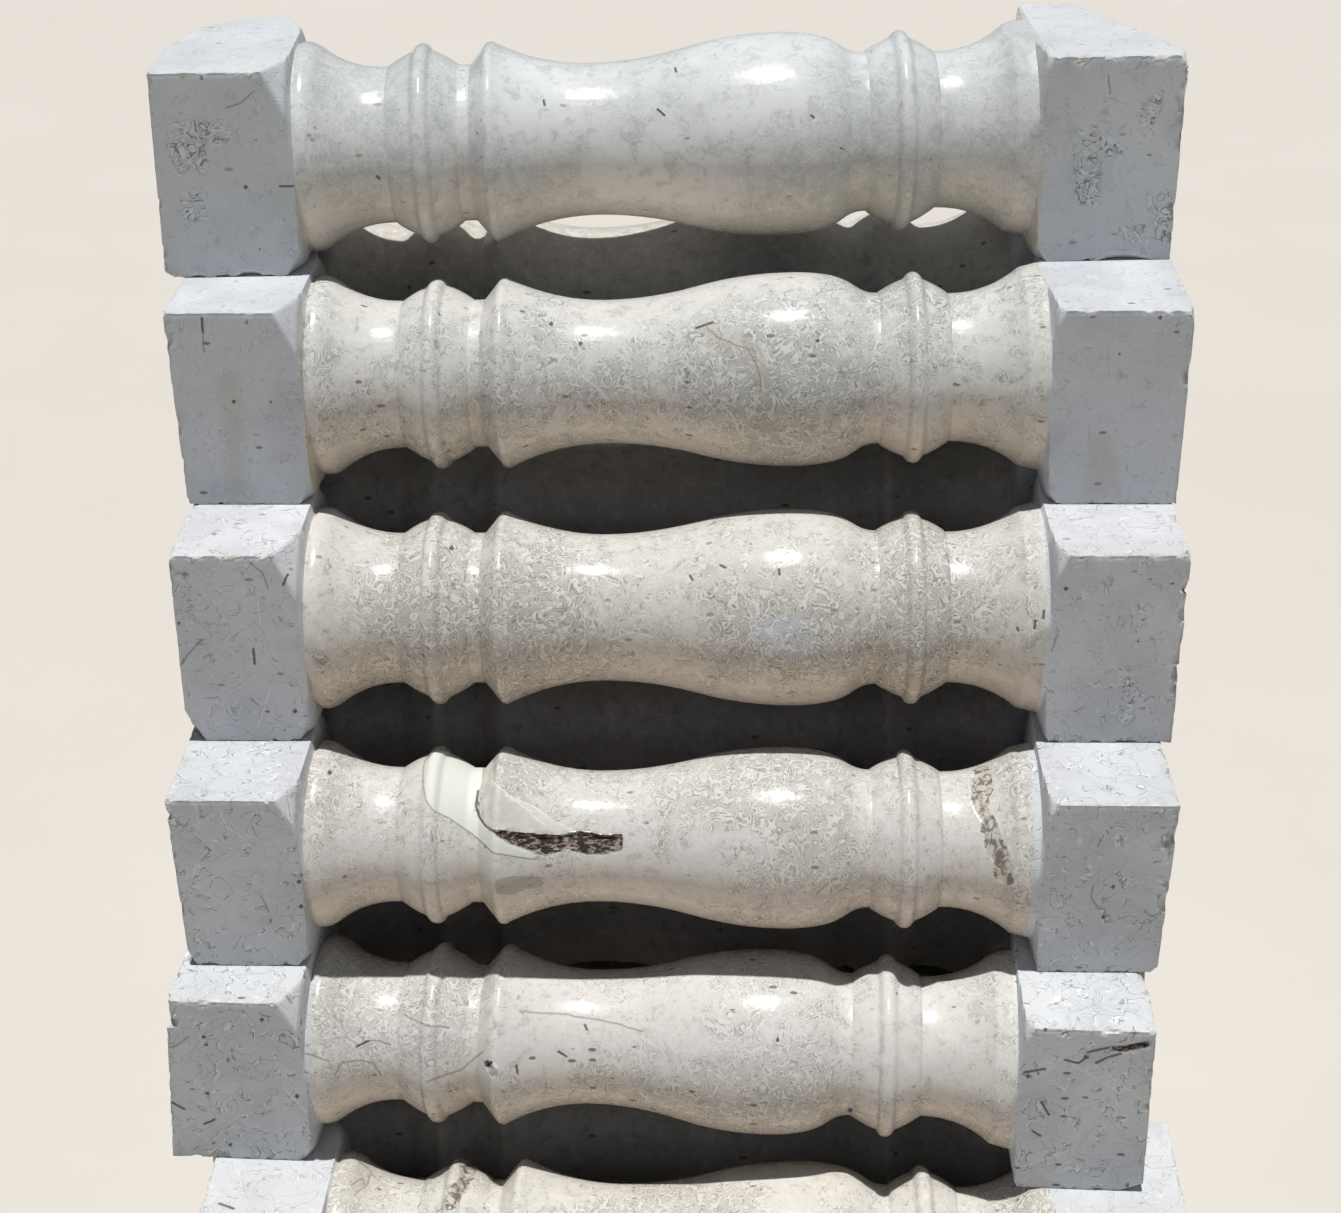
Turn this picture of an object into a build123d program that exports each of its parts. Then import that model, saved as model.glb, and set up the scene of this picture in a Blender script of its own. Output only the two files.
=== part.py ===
from build123d import *
from dataclasses import dataclass
from math import cos, hypot, radians, sin, tan
import os

# A stepped pile of turned stone balusters, laid flat in courses as they are stored and sold.
# X runs along the balusters, their tops to -X. Y runs from the front of the pile to its back.
# Z is up from the ground, and the origin is under the middle of the pile. Sizes in millimetres.

# The square bar that each baluster is turned from
bar_side = 150.0
turning_allowance = 10.0        # past the corners, also of a bar held off its middle

# Top end: square block, sloped shoulder, quirk, rim and trumpet
top_block = 77.0
top_shoulder = 13.0
top_shoulder_foot = 88.0        # radius
quirk = 1.5
quirk_floor = 73.0              # radius
rim_edge = 4.0
top_rim = 75.0                  # radius
trumpet = 55.5
trumpet_rounding = 0.22         # the part of the trumpet that is convex
upper_cove = 55.5               # radius
upper_cove_flat = 5.5

# The two like rings: a round bead between two flanks
ring_width = 50.0
ring_step = 0.8                 # small step from the cove to a flank
flank_crown = 0.6               # how far a flank bulges past straight
bead_width = 13.0
bead_foot = 66.5                # radius
bead_crest = 71.5               # radius

# Ridge above the neck
ridge_gap = 9.5
ridge_face = 11.0
ridge_brow = 69.0               # radius
ridge_rounding = 8.0
ridge_crest = 71.5              # radius
ridge_shoulder = 70.0           # radius

# Neck and belly
neck_run = 69.0
neck = 54.0                     # radius
swell = 139.0
swell_turn = 0.5                # the part of the swell that is concave
belly = 72.7                    # radius
belly_run = 27.0
belly_end = 70.1                # radius
belly_fall = 20.0
belly_fall_end = 61.3           # radius
lower_cove_run = 14.5
lower_cove = 56.5               # radius
lower_cove_flat = 2.0

# Bottom end: flare, rim, quirk, shoulder and square block
flare_flat = 3.5
flare_throat = 55.5             # radius
flare = 49.0
flare_lip = 74.0                # radius
bottom_rim_band = 10.0
bottom_rim = 76.5               # radius
bottom_quirk = 5.5
bottom_quirk_floor = 77.5       # radius
bottom_shoulder_face = 2.5
bottom_shoulder_brow = 98.0     # radius
bottom_shoulder = 6.0
bottom_block = 87.0

# The pile: each course has one row less than the course it lies on, bottom course first in each list
course_rows = [6, 5, 4, 3, 2, 1]
course_height = [150.0, 149.0, 146.0, 154.0, 150.0, 151.0]  # bars are sawn a little unlike
course_step = [84.0, 53.4, 80.0, 80.4, 85.2]    # each front face behind the one below
row_gap = 2.0
front_shift = [13.0, -15.0, 0.0, 6.0, 7.5, 2.0]  # along X
front_turn = [-1.2, -2.9, -0.8, -0.5, -0.6, 1.9]  # degrees about Z
rear_shift = [-5.0, 4.0, -3.0, 6.0, -4.0]
rear_turn = [-0.5, 0.4, -0.3, 0.6, -0.2]


@dataclass
class Cut:
    """How one baluster departs from the pattern."""

    height: float = bar_side
    top_end: tuple = (0.0, 0.0)         # how far the end's upper and lower arris reach past the pattern
    bottom_end: tuple = (0.0, 0.0)
    top_centre: tuple = (0.0, 0.0)      # where the lathe held the end, back and up from its middle
    bottom_centre: tuple = (0.0, 0.0)
    deeper: float = 0.0                 # how much more stone is turned away all round
    late: float = 0.0                   # how far down the upper turning is set


# The front baluster of each course, bottom course first
front_cuts = [
    Cut(course_height[0], deeper=1.0),
    Cut(
        course_height[1],
        top_end=(-9.8, 3.0),
        bottom_end=(-2.6, 0.3),
        top_centre=(-5.0, -5.0),
        bottom_centre=(-3.0, -3.5),
        deeper=4.0,
        late=14.0,
    ),
    Cut(
        course_height[2],
        top_end=(-3.4, -4.9),
        bottom_end=(-3.2, -6.5),
        top_centre=(-4.0, -3.0),
        bottom_centre=(-5.0, -5.0),
        deeper=5.5,
        late=4.0,
    ),
    Cut(
        course_height[3],
        top_end=(-2.3, 1.4),
        bottom_end=(-1.4, -1.2),
        top_centre=(-1.5, -5.5),
        bottom_centre=(-1.0, -4.5),
        deeper=-0.5,
    ),
    Cut(
        course_height[4],
        top_end=(2.1, 1.4),
        bottom_end=(0.2, 0.6),
        top_centre=(-2.0, -4.5),
        bottom_centre=(0.0, 3.0),
        deeper=1.0,
    ),
    Cut(
        course_height[5],
        top_end=(4.2, 9.3),
        bottom_end=(5.9, 5.4),
        top_centre=(0.0, -3.5),
        bottom_centre=(0.0, 3.5),
        deeper=-1.5,
    ),
]

# Corners that broke off the blocks: end, side, level, and how far the break reaches along, across and up
top, bottom = -1, 1
front, back = -1, 1
lower, upper = -1, 1
broken_corners = {
    "course_6_baluster_1": [
        (top, back, upper, 22.0, 82.0, 46.0),
        (top, back, upper, 48.0, 42.0, 34.0),
        (top, front, lower, 7.0, 9.0, 8.0),
        (bottom, back, upper, 58.0, 130.0, 52.0),
        (bottom, back, upper, 34.0, 150.0, 22.0),
        (bottom, front, upper, 7.0, 16.0, 12.0),
    ],
    "course_5_baluster_1": [
        (bottom, front, upper, 5.0, 12.0, 9.0),
        (bottom, back, upper, 14.0, 26.0, 12.0),
    ],
    "course_4_baluster_1": [
        (top, front, lower, 14.0, 22.0, 30.0),
        (top, front, upper, 6.0, 14.0, 5.0),
        (bottom, front, upper, 4.0, 9.0, 7.0),
    ],
    "course_3_baluster_1": [
        (top, front, lower, 5.0, 10.0, 14.0),
        (bottom, front, lower, 5.0, 8.0, 6.0),
    ],
    "course_2_baluster_1": [
        (bottom, front, lower, 19.0, 14.0, 8.0),
        (top, front, upper, 4.0, 6.0, 5.0),
    ],
    "course_1_baluster_1": [
        (top, front, upper, 10.0, 16.0, 12.0),
    ],
}

# Chips out of the front block arrises: distance in from the end, height, and the chip's width and depth
arris_chips = {
    "course_6_baluster_1": [
        (top, 62.0, lower, 20.0, 4.5),
        (bottom, 34.0, lower, 38.0, 4.0),
        (bottom, 20.0, upper, 18.0, 3.0),
        (bottom, 52.0, upper, 14.0, 2.0),
    ],
    "course_4_baluster_1": [
        (top, 46.0, upper, 16.0, 2.5),
        (top, 66.0, upper, 12.0, 2.5),
        (bottom, 24.0, upper, 20.0, 2.2),
        (bottom, 50.0, upper, 16.0, 2.0),
    ],
    "course_3_baluster_1": [
        (top, 24.0, upper, 16.0, 1.8),
    ],
    "course_2_baluster_1": [
        (top, 12.0, upper, 12.0, 1.8),
        (bottom, 30.0, upper, 22.0, 1.8),
    ],
}

# Notches in the upright front arris of the bottom end: height from the middle, width and depth
end_notches = {
    "course_6_baluster_1": [(44.0, 24.0, 4.0), (12.0, 16.0, 2.5)],
    "course_5_baluster_1": [(28.0, 20.0, 4.0)],
    "course_4_baluster_1": [(34.0, 22.0, 5.0), (-14.0, 12.0, 2.0)],
    "course_3_baluster_1": [(-10.0, 18.0, 5.0), (-34.0, 12.0, 2.5)],
    "course_2_baluster_1": [(8.0, 10.0, 3.5)],
}

# Stations along the bar, measured from the top end
top_shoulder_start = top_block
top_shoulder_end = top_shoulder_start + top_shoulder
quirk_end = top_shoulder_end + quirk
top_rim_start = quirk_end + rim_edge
trumpet_end = top_rim_start + trumpet
upper_ring = trumpet_end + upper_cove_flat
upper_ring_end = upper_ring + ring_width
ridge_foot = upper_ring_end + ridge_gap
ridge_top = ridge_foot + ridge_face
neck_start = ridge_top + ridge_rounding
neck_middle = neck_start + neck_run
belly_middle = neck_middle + swell
belly_run_end = belly_middle + belly_run
belly_fall_foot = belly_run_end + belly_fall
lower_cove_start = belly_fall_foot + lower_cove_run
lower_ring = lower_cove_start + lower_cove_flat
lower_ring_end = lower_ring + ring_width
flare_start = lower_ring_end + flare_flat
flare_end = flare_start + flare
bottom_rim_end = flare_end + bottom_rim_band
bottom_quirk_end = bottom_rim_end + bottom_quirk
bottom_brow = bottom_quirk_end + bottom_shoulder_face
bottom_block_start = bottom_brow + bottom_shoulder
length = bottom_block_start + bottom_block


def on_bar(station, radius):
    """A point of the turned profile, in the bar's own frame."""
    return Vector(station - length / 2, radius)


def run_out(start, foot, radius):
    """Where the straight line from foot through start reaches a radius."""
    return foot + (start - foot) * ((radius - foot.Y) / (start.Y - foot.Y))


def ogee(start, end, turn):
    """Two arcs level with the bar at both ends, which meet a given part of the way along."""
    middle = start + (end - start) * turn
    first = TangentArc(start, middle, tangent=(1, 0))
    TangentArc(middle, end, tangent=first % 1)


def ring(start, end, deeper):
    """A bead between two flanks, with a small step up at each side, from one cove's end to another's."""
    station = start.X + length / 2
    flank = (ring_width - bead_width) / 2
    foot = start + Vector(0, ring_step)
    bead_start = on_bar(station + flank, bead_foot - deeper)
    crest = on_bar(station + ring_width / 2, bead_crest - deeper)
    bead_end = on_bar(station + ring_width - flank, bead_foot - deeper)
    far_foot = end + Vector(0, ring_step)
    Line(start, foot)
    SagittaArc(foot, bead_start, flank_crown)
    ThreePointArc(bead_start, crest, bead_end)
    SagittaArc(bead_end, far_foot, flank_crown)
    Line(far_foot, end)


def waste_outline(cut):
    """The outline of what the lathe takes away, above the bar's axis."""
    corner_radius = hypot(bar_side, cut.height) / 2
    waste_radius = corner_radius + turning_allowance

    def high(station, radius):
        return on_bar(station + cut.late, radius - cut.deeper)

    def low(station, radius):
        return on_bar(station, radius - cut.deeper)

    # Top shoulder, quirk and rim
    top_corner = on_bar(top_shoulder_start + cut.late, corner_radius)
    top_foot = on_bar(top_shoulder_end + cut.late, top_shoulder_foot)
    top_start = run_out(top_corner, top_foot, waste_radius)
    rim_start = high(top_rim_start, top_rim)
    Polyline(top_start, top_foot, high(quirk_end, quirk_floor), rim_start)
    # Trumpet, cove and upper ring
    cove = high(trumpet_end, upper_cove)
    ring_start = high(upper_ring, upper_cove)
    ring_end = high(upper_ring_end, upper_cove)
    ogee(rim_start, cove, trumpet_rounding)
    Line(cove, ring_start)
    ring(ring_start, ring_end, cut.deeper)
    # Ridge and neck
    brow = high(ridge_top, ridge_brow)
    ridge_middle = high((ridge_top + neck_start) / 2, ridge_crest)
    ridge_end = high(neck_start, ridge_shoulder)
    throat = low(neck_middle + cut.late / 2, neck)
    Polyline(ring_end, high(ridge_foot, upper_cove), brow)
    ThreePointArc(brow, ridge_middle, ridge_end)
    TangentArc(throat, ridge_end, tangent=(-1, 0))
    # Belly and lower cove
    widest = low(belly_middle, belly)
    ogee(throat, widest, swell_turn)
    bulge = TangentArc(widest, low(belly_run_end, belly_end), tangent=(1, 0))
    fall = TangentArc(bulge @ 1, low(belly_fall_foot, belly_fall_end), tangent=bulge % 1)
    hollow = TangentArc(fall @ 1, low(lower_cove_start, lower_cove), tangent=fall % 1)
    lower_start = low(lower_ring, lower_cove)
    lower_end = low(lower_ring_end, flare_throat)
    Line(hollow @ 1, lower_start)
    # Lower ring, flare and rim
    ring(lower_start, lower_end, cut.deeper)
    flare_foot = low(flare_start, flare_throat)
    lip = low(flare_end, flare_lip)
    Line(lower_end, flare_foot)
    TangentArc(flare_foot, lip, tangent=(1, 0))
    # Bottom quirk and shoulder, then back along the outside of the waste
    shoulder_brow = on_bar(bottom_brow, bottom_shoulder_brow)
    bottom_corner = on_bar(bottom_block_start, corner_radius)
    bottom_end = run_out(bottom_corner, shoulder_brow, waste_radius)
    Polyline(
        lip,
        low(bottom_rim_end, bottom_rim),
        low(bottom_quirk_end, bottom_quirk_floor),
        shoulder_brow,
        bottom_end,
        top_start,
    )


def turned_bar(cut):
    """A sawn bar with the profile cut out of it about the lathe's axis.

    Where the turning runs out of stone, the bar's corners leave the curved shoulders of the blocks.
    """
    half = cut.height / 2
    top_hold = Vector(-length / 2, *cut.top_centre)
    bottom_hold = Vector(length / 2, *cut.bottom_centre)
    direction = (bottom_hold - top_hold).normalized()
    lathe = Plane((top_hold + bottom_hold) / 2, x_dir=direction, z_dir=direction.cross(Vector(0, 0, 1)))
    with BuildPart() as bar:
        with BuildSketch(Plane.XZ):
            with BuildLine():
                Polyline(
                    (-length / 2 - cut.top_end[0], half),
                    (-length / 2 - cut.top_end[1], -half),
                    (length / 2 + cut.bottom_end[1], -half),
                    (length / 2 + cut.bottom_end[0], half),
                    close=True,
                )
            make_face()
        extrude(amount=bar_side / 2, both=True)
        with BuildSketch(lathe):
            with BuildLine():
                waste_outline(cut)
            make_face()
        revolve(axis=Axis(lathe.origin, direction), mode=Mode.SUBTRACT)
    return bar.part


def end_station(cut, end, level):
    """Where an arris of an end face lies along the bar."""
    reach = cut.top_end if end == top else cut.bottom_end
    return end * (length / 2 + reach[0 if level == upper else 1])


def break_plane(cut, end, side, level, along, across, rise):
    """The plane of a broken corner, facing away from the stone that is left."""
    corner = Vector(end_station(cut, end, level), side * bar_side / 2, level * cut.height / 2)
    outward = Vector(end / along, side / across, level / rise)
    return Plane(corner - Vector(end * along, 0, 0), z_dir=outward)


def chip_sphere(arris, outward, width, depth):
    """Takes a shallow shell of stone out of an arris."""
    radius = (width * width / 4 + depth * depth) / (2 * depth)
    with Locations(arris + outward.normalized() * (radius - depth)):
        Sphere(radius, mode=Mode.SUBTRACT)


def damaged(name, cut, stone):
    """The front baluster with its broken corners and its chips."""
    with BuildPart() as worn:
        add(stone)
        for corner in broken_corners.get(name, []):
            split(bisect_by=break_plane(cut, *corner), keep=Keep.BOTTOM)
        for end, inset, level, width, depth in arris_chips.get(name, []):
            arris = Vector(end_station(cut, end, level) - end * inset, -bar_side / 2, level * cut.height / 2)
            chip_sphere(arris, Vector(0, front, level), width, depth)
        for rise, width, depth in end_notches.get(name, []):
            station = (end_station(cut, bottom, upper) + end_station(cut, bottom, lower)) / 2
            chip_sphere(Vector(station, -bar_side / 2, rise), Vector(bottom, front, 0), width, depth)
    return worn.part


def place(height, floor, row_front, shift, turn):
    """The plane of a baluster whose front face has its middle at a given shift and distance back."""
    half = bar_side / 2
    middle = Vector(shift - half * sin(radians(turn)), row_front + half * cos(radians(turn)))
    middle.Z = floor + height / 2
    direction = (cos(radians(turn)), sin(radians(turn)), 0)
    return Plane(origin=middle, x_dir=direction, z_dir=(0, 0, 1))


def next_front(row_front, shift, turn, next_shift, next_turn):
    """How far back the next row's front face has its middle, clear of the row before it."""
    reach = (length + bar_side) / 2 + abs(shift) + abs(next_shift)
    swing = reach * abs(tan(radians(turn)) - tan(radians(next_turn)))
    return row_front + bar_side / cos(radians(turn)) + swing + row_gap


# All balusters, course by course from the ground and row by row from the front
balusters = {}
course_front = 0.0
floor = 0.0
for course, rows in enumerate(course_rows):
    if course > 0:
        course_front += course_step[course - 1]
    height = course_height[course]
    pattern = turned_bar(Cut(height))
    row_front = course_front
    shift = front_shift[course]
    turn = front_turn[course]
    for row in range(rows):
        name = f"course_{course + 1}_baluster_{row + 1}"
        stone = pattern
        if row == 0:
            stone = damaged(name, front_cuts[course], turned_bar(front_cuts[course]))
        with BuildPart(place(height, floor, row_front, shift, turn)) as baluster:
            add(stone)
        balusters[name] = baluster.part
        next_shift = rear_shift[row % len(rear_shift)]
        next_turn = rear_turn[row % len(rear_turn)]
        row_front = next_front(row_front, shift, turn, next_shift, next_turn)
        shift = next_shift
        turn = next_turn
    floor += height

# The pile stands with the middle of its outline over the origin
boxes = [baluster.bounding_box() for baluster in balusters.values()]
middle_x = (min(box.min.X for box in boxes) + max(box.max.X for box in boxes)) / 2
middle_y = (min(box.min.Y for box in boxes) + max(box.max.Y for box in boxes)) / 2

os.makedirs("parts", exist_ok=True)
for name, baluster in balusters.items():
    stored = baluster.moved(Location((-middle_x, -middle_y, 0)))
    stored.label = name
    export_step(stored, f"parts/{name}.step")
volume = sum(baluster.volume for baluster in balusters.values())
print("length", round(length, 1), "middle", round(middle_x, 2), round(middle_y, 2), "volume", round(volume))
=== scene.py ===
import math
from collections import namedtuple

import bpy
import numpy as np
from mathutils import Matrix, Vector
from mathutils.bvhtree import BVHTree


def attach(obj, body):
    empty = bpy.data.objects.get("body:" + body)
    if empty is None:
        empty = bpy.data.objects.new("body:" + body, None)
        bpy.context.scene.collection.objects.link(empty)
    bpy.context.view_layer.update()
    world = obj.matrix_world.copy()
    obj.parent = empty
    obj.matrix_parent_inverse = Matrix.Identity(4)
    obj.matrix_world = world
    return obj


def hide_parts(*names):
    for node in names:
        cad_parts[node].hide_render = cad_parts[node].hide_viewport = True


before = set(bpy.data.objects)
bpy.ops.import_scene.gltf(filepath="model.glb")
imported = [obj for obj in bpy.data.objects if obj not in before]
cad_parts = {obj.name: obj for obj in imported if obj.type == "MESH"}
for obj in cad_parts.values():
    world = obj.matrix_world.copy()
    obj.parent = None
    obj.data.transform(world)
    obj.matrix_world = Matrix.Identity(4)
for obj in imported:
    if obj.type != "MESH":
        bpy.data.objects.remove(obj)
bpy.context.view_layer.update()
MM = 0.001

# The photograph's camera, as fitted to the corners of the five whole balusters
PHOTO_WIDTH = 1341
PHOTO_HEIGHT = 1213
PHOTO_FOCAL = 2249.24  # in the photograph's pixels
CAMERA_PITCH = math.radians(28.925)  # down
CAMERA_YAW = math.radians(-1.344)
CAMERA_ROLL = math.radians(-0.882)
CAMERA_PLACE = Vector((0.0351, -1.6432, 1.3285))
SENSOR_WIDTH = 36.0
PIXELS_PER_METRE = 1420.0  # on the front faces

# Stretches of a baluster from its top end, each with the spacing of its rows of vertices, in mm
STRETCHES = [
    (0.0, 3.0, 0.6),  # arris of the top end
    (3.0, 74.0, 2.6),  # block
    (74.0, 112.0, 1.1),  # shoulder and rim
    (112.0, 150.0, 3.2),  # trumpet
    (150.0, 236.0, 1.4),  # ring and ridge
    (236.0, 334.0, 3.0),  # neck
    (334.0, 500.0, 3.3),  # belly
    (500.0, 560.0, 1.5),  # ring
    (560.0, 604.0, 3.0),  # flare
    (604.0, 636.0, 1.1),  # rim and shoulder
    (636.0, 717.0, 2.6),  # block
    (717.0, 720.0, 0.6),  # arris of the bottom end
]
FINE_NODE = "course_3_baluster_1"  # its neck bears the repair
FINE_STRETCH = (236.0, 334.0, 1.4)
CORNER_CROWDING = 0.62  # how much closer the columns stand at the bar's corners
FRONT_COLUMNS = 42  # columns on each side of the bar
REAR_COLUMNS = 16
REAR_SPACING = 2.7  # rear rows of vertices are this much further apart
CAP_RINGS = 5
SHARP_ANGLE = math.radians(38)  # edges sharper than this are shaded as arrises
PROBE_INSET = 1e-5  # the first and last rows are measured this far inside the stone
FAR_FROM_ENDS = 1.0
TINY = 1e-6
WEAR = {  # how badly the arrises of the front balusters are chipped, 1 is usual
    "course_6_baluster_1": 1.2,
    "course_5_baluster_1": 0.9,
    "course_4_baluster_1": 1.7,
    "course_3_baluster_1": 1.3,
    "course_2_baluster_1": 1.4,
    "course_1_baluster_1": 1.4,
}
PILE_SHADE_STRENGTH = {5: 0.25, 4: 0.6, 3: 0.9, 2: 0.8, 1: 0.5}  # how dark the painted shade inside a course is, 1 is usual
BLOCK_REACH = 76.0  # the end blocks' shortest run, where nothing is turned
END_SLIDE = 60.0  # run over which rows of vertices follow a leaning end face
TURNED_START = 91.5  # the polished turning starts this far from the top end
TURNED_END = 97.0  # and ends this far from the bottom end
LATE_TURNING = {  # starts this much later
    "course_6_baluster_1": 7.0,
    "course_2_baluster_1": 14.0,
}
COURSES = 6

# Marks on the front balusters, drawn where they lie in the photograph, in its pixels
MARKS = {
    "course_6_baluster_1": {
        "relief": [
            [(168, 122), (205, 118), (236, 126), (232, 143), (208, 150), (212, 172), (178, 176), (164, 150)],
            [(178, 192), (200, 190), (212, 224), (196, 226), (176, 214)],
            [(1074, 128), (1096, 126), (1126, 150), (1100, 160), (1100, 206), (1076, 206), (1072, 160)],
            [(1142, 104), (1164, 88), (1160, 112), (1148, 136), (1140, 130)],
            [(1148, 196), (1172, 190), (1172, 242), (1120, 240), (1118, 228), (1150, 224)],
        ],
        "crack": [[(228, 107), (240, 104), (253, 92)], [(1109, 76), (1110, 92)]],
        "line": [
            [(282, 186), (291, 186)], [(658.5, 110.5), (663, 114.5)], [(812, 116.5), (813, 117.5)],
            [(544.2, 102.5), (544.4, 103.5)], [(675.3, 69), (675.6, 70)], [(842.5, 149.3), (843, 149.6)],
            [(377.5, 176.5), (378, 177)],
        ],
        "pit": [[(246, 187), (255, 141), (1105, 100), (1150, 155), (201, 78), (259, 250)]],
    },
    "course_5_baluster_1": {
        "crack": [
            [(707, 328), (717, 337), (733, 344), (748, 349), (757, 366), (761, 380), (760, 394)],
            [(203, 336), (204, 350)],
        ],
        "tint": [
            [
                (702, 322), (722, 331), (754, 337), (768, 366), (768, 398), (758, 398), (750, 374),
                (740, 354), (712, 346),
            ],
            [(213, 376), (232, 370), (242, 400), (246, 490), (226, 496), (222, 430)],
            [(1088, 430), (1112, 440), (1120, 496), (1086, 496)],
        ],
        "line": [[(698, 327.8), (711, 323)], [(202, 320), (203, 330)]],
        "stain": [[(807, 423), (812, 421), (817, 425), (816, 431), (809, 431)]],
        "thread": [[(583, 377), (600, 390), (607, 398)]],
        "pit": [[
            (246, 322), (234, 402), (271, 403), (1120, 353), (1160, 318), (817, 341), (551, 324),
            (581, 344),
        ]],
    },
    "course_4_baluster_1": {
        "pale": [[(752, 628), (775, 616), (806, 620), (822, 636), (812, 656), (782, 664), (758, 650)]],
        "line": [
            [(690.6, 577), (691.4, 578.5)], [(1017.3, 628.5), (1017.7, 630)],
            [(1034.9, 623), (1034.6, 627)], [(1043.9, 613), (1043.6, 617)], [(779.2, 571.5), (779.4, 573)],
            [(722, 566), (724, 567)], [(284, 583), (287, 577)], [(253.5, 650), (254.5, 662)],
        ],
        "crack": [
            [(1052.5, 648.5), (1056, 638)], [(590, 571.5), (603, 574), (616.5, 579.5)],
            [(250, 563), (262, 573), (268, 587)], [(181, 664), (190, 652), (202, 640)],
        ],
        "pit": [[
            (184, 577), (179, 624), (295, 711), (267, 712), (1066, 589), (1150, 580), (1172, 583),
            (1110, 581), (452, 548), (1138, 640), (316, 706),
        ]],
        "thread": [
            [(258, 603), (260, 622)], [(270, 690), (263, 712), (259, 725)],
            [(610, 640), (630, 632), (650, 636)],
        ],
        "relief": [
            [(1132, 610), (1145, 610), (1145, 632), (1132, 632)],
            [(1123, 676), (1138, 676), (1134, 724), (1118, 724)],
        ],
    },
    "course_3_baluster_1": {
        "filler": [[
            (423, 770), (425, 761), (437, 748), (452, 752), (468, 762), (484, 764), (482, 784), (477, 800),
            (478, 813), (486, 822), (492, 832), (505, 840), (526, 849), (545, 859), (530, 859), (505, 855),
            (493, 853), (485, 845), (472, 834), (449, 818), (434, 811), (426, 801), (423, 784),
        ]],
        "rough": [[
            (494, 829), (515, 832), (538, 834), (559, 835), (580, 831), (601, 835), (623, 834), (623, 849),
            (605, 854), (588, 854), (568, 849), (555, 852), (545, 855), (526, 849), (509, 843), (496, 835),
        ]],
        "smooth": [[
            (493, 757), (494, 782), (513, 797), (535, 806), (553, 821), (574, 832), (560, 834), (526, 831),
            (498, 829), (486, 819), (483, 798), (484, 770),
        ]],
        "stain": [[
            (494, 880), (513, 876), (538, 876), (545, 882), (540, 888), (526, 889), (513, 895), (497, 894),
        ]],
        # This line is a painted shadow under the edge of the filler
        "line": [[(478, 793), (476, 806), (479, 817), (485, 826), (497, 834)]],
        "thread": [
            [(494, 783), (513, 798), (535, 807), (554, 821), (575, 832)], [(505, 795), (530, 811)],
            [(221, 812), (226, 826), (240, 836)], [(196, 808), (199, 822)], [(530, 813), (543, 824)],
        ],
        "crack": [
            [(203, 859), (210, 852)], [(262, 898), (268, 910)], [(1093, 888), (1091, 897), (1097, 907)],
            [(1146, 912), (1152, 917), (1159, 914)],
        ],
        "pit": [[
            (477, 804), (476, 812), (271, 921), (299, 882), (301, 906), (1113, 886), (1104, 917),
            (646, 823), (330, 773),
        ]],
        "vein": [[
            (976, 765), (988, 766), (992, 780), (991, 794), (986, 806), (994, 822), (1001, 838),
            (1010, 855), (1012, 882), (1005, 885), (996, 878), (993, 862), (986, 842), (982, 822),
            (974, 810), (970, 796), (972, 780),
        ]],
    },
    "course_2_baluster_1": {
        "rough": [
            [(1109, 1047.5), (1128, 1045), (1150, 1041), (1150, 1046), (1128, 1051), (1110, 1051)],
            [(484, 1059), (492, 1061), (492, 1067), (486, 1067)],
        ],
        "line": [
            [(1066, 1060), (1078, 1063), (1089, 1056)], [(1089, 1052), (1106, 1048)],
            [(1098, 1062), (1108, 1057), (1119, 1054)], [(1026, 1072), (1043, 1069)],
            [(1042, 1103), (1048, 1113)], [(1034, 1132), (1039, 1135)], [(359, 1046), (367, 1042)],
            [(516.4, 1067), (517.6, 1072)], [(560, 1053), (565, 1056)], [(174, 1103), (183, 1108)],
            [(206, 1123), (213, 1120)], [(585.7, 1027), (586.3, 1028.5)],
        ],
        "thread": [
            [(1093, 1064), (1145, 1102)], [(1072, 1064), (1118, 1092)], [(1024, 1166), (1064, 1152)],
            [(284, 1089), (306, 1111)],
        ],
        "crack": [
            [(367, 1041.5), (377, 1040), (388, 1044)], [(307, 1054), (327, 1060)],
            [(336, 1074), (340, 1064), (357, 1060), (373, 1063), (380, 1073)],
            [(407, 1016), (425, 1025), (447, 1027)], [(429, 1081), (460, 1070), (481, 1053)],
            [(522, 1012), (562, 1014), (616, 1023), (640, 1031)], [(166, 1048), (176, 1046), (187, 1037)],
        ],
        "pit": [[
            (204, 1037), (206, 1044), (228, 1060), (262, 1020), (207, 1093), (297, 1096), (214, 1142),
            (230, 1145), (1028, 1076), (1127, 1185), (850, 1110), (778, 1040), (1046, 1030),
        ]],
        "crystal": [[(484, 1059), (498, 1064), (499, 1077), (491, 1079), (486, 1069)]],
    },
    "course_1_baluster_1": {
        "vein": [[
            (458, 1157), (470, 1157), (478, 1166), (472, 1182), (460, 1196), (452, 1212), (436, 1213),
            (446, 1192), (462, 1176),
        ]],
        "tint": [[(350, 1168), (362, 1158), (376, 1178), (366, 1196), (350, 1190)]],
        "crack": [
            [(358, 1160), (368, 1168), (363, 1178), (353, 1184)], [(371, 1172), (368, 1184), (358, 1192)],
        ],
        "line": [[(220, 1204), (232, 1208)]],
    },
}
AREA_KINDS = ("relief", "stain", "tint", "pale", "filler", "rough", "smooth", "vein", "crystal")
LINE_KINDS = ("line", "thread", "crack")
POINT_KINDS = ("pit",)
FAR = 0.02  # a mark's distance is kept up to this far from it
CAP_FIELDS = ("turned", "broken", "under", "painted_shade")  # these are nought on the caps, the others FAR
ROUGH_DEPTH = 0.0025  # how deep a broken-out mark lies

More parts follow.
